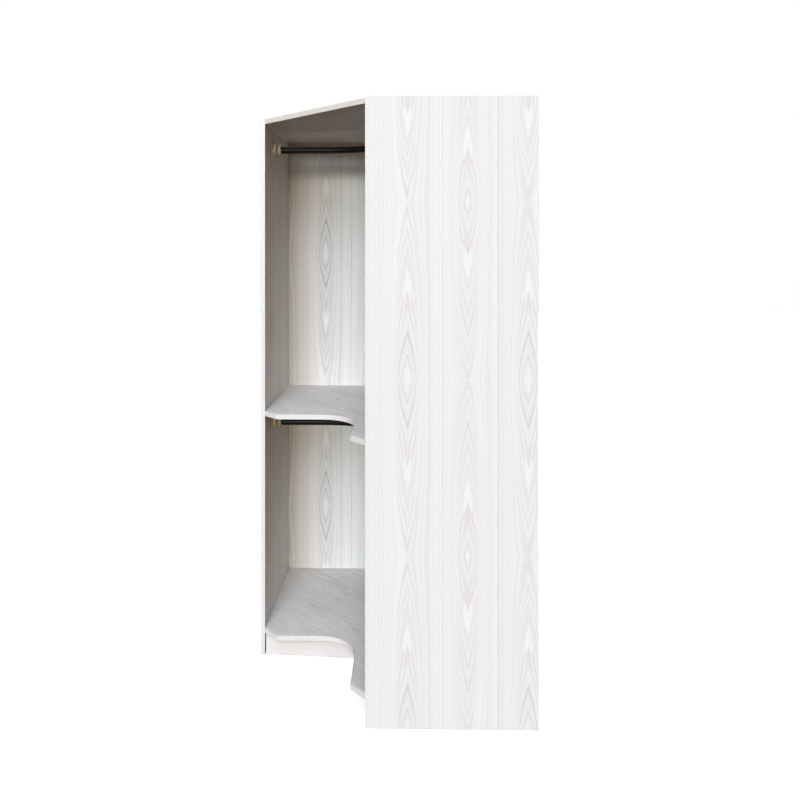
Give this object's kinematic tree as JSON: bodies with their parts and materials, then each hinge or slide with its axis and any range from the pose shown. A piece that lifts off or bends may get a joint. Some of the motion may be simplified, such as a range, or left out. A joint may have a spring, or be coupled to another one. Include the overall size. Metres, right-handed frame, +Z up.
{
  "type": "corner wardrobe",
  "caption": "Open L-shaped corner wardrobe: side panels, a diagonal top, a shelf with a rounded inner front edge, a bottom on plinths and bent clothes rails with sliding covers.",
  "frame": {"origin": "middle of the square footprint, on the floor", "axes": "+Z up; the room's corner is at +X +Y, so the open front faces -X -Y; the left side panel is the one at -X and the right side panel the one at -Y"},
  "size_m": [0.968, 0.968, 2],
  "materials": {
    "decor_board": "pale ash wood-grain melamine, satin",
    "back_board": "pale ash wood-grain face on thin fibreboard, satin",
    "edge_band": "off-white plastic edge band, satin",
    "batten": "planed softwood, bare",
    "dowel": "fluted beech, bare",
    "black_tube": "black enamelled steel tube, semi-gloss",
    "beige_plastic": "moulded beige plastic, satin",
    "zinc_fitting": "zinc-plated, satin"
  },
  "bodies": {
    "case": {"left_side_panel": "decor_board", "right_side_panel": "decor_board", "top_panel": "decor_board", "middle_shelf": "decor_board", "bottom_panel": "decor_board", "left_plinth": "decor_board", "right_plinth": "decor_board", "shelf_edge_band": "edge_band", "bottom_edge_band": "edge_band", "left_back_panel": "back_board", "right_back_panel": "back_board", "rear_corner_post": "batten", "rear_foot": "batten", "post_top_dowel": "dowel", "post_foot_dowel": "dowel", "left_plinth_dowel": "dowel", "right_plinth_dowel": "dowel", "plinth_corner_bracket": "zinc_fitting", "upper_rail": "black_tube", "lower_rail": "black_tube", "upper_left_rail_socket": "beige_plastic", "upper_right_rail_socket": "beige_plastic", "lower_left_rail_socket": "beige_plastic", "lower_right_rail_socket": "beige_plastic", "upper_left_socket_upper_screw": "zinc_fitting", "upper_left_socket_lower_screw": "zinc_fitting", "upper_right_socket_upper_screw": "zinc_fitting", "upper_right_socket_lower_screw": "zinc_fitting", "lower_left_socket_upper_screw": "zinc_fitting", "lower_left_socket_lower_screw": "zinc_fitting", "lower_right_socket_upper_screw": "zinc_fitting", "lower_right_socket_lower_screw": "zinc_fitting", "top_left_front_cam": "zinc_fitting", "top_left_rear_cam": "zinc_fitting", "top_right_front_cam": "zinc_fitting", "top_right_rear_cam": "zinc_fitting", "shelf_left_front_cam": "zinc_fitting", "shelf_left_rear_cam": "zinc_fitting", "shelf_right_front_cam": "zinc_fitting", "shelf_right_rear_cam": "zinc_fitting", "bottom_left_front_cam": "zinc_fitting", "bottom_left_rear_cam": "zinc_fitting", "bottom_right_front_cam": "zinc_fitting", "bottom_right_rear_cam": "zinc_fitting", "top_left_front_bolt": "zinc_fitting", "top_left_rear_bolt": "zinc_fitting", "top_right_front_bolt": "zinc_fitting", "top_right_rear_bolt": "zinc_fitting", "shelf_left_front_bolt": "zinc_fitting", "shelf_left_rear_bolt": "zinc_fitting", "shelf_right_front_bolt": "zinc_fitting", "shelf_right_rear_bolt": "zinc_fitting", "bottom_left_front_bolt": "zinc_fitting", "bottom_left_rear_bolt": "zinc_fitting", "bottom_right_front_bolt": "zinc_fitting", "bottom_right_rear_bolt": "zinc_fitting"},
    "upper_left_cover": {"upper_left_rail_cover": "beige_plastic"},
    "upper_right_cover": {"upper_right_rail_cover": "beige_plastic"},
    "lower_left_cover": {"lower_left_rail_cover": "beige_plastic"},
    "lower_right_cover": {"lower_right_rail_cover": "beige_plastic"}
  },
  "joints": [
    {"name": "upper_left_cover_slide", "type": "slide", "parent": "case", "child": "upper_left_cover", "axis": [1, 0, 0], "range_m": [-0.0035, 0.17]},
    {"name": "upper_right_cover_slide", "type": "slide", "parent": "case", "child": "upper_right_cover", "axis": [0, 1, 0], "range_m": [-0.0035, 0.17]},
    {"name": "lower_left_cover_slide", "type": "slide", "parent": "case", "child": "lower_left_cover", "axis": [1, 0, 0], "range_m": [-0.0035, 0.17]},
    {"name": "lower_right_cover_slide", "type": "slide", "parent": "case", "child": "lower_right_cover", "axis": [0, 1, 0], "range_m": [-0.0035, 0.17]}
  ]
}
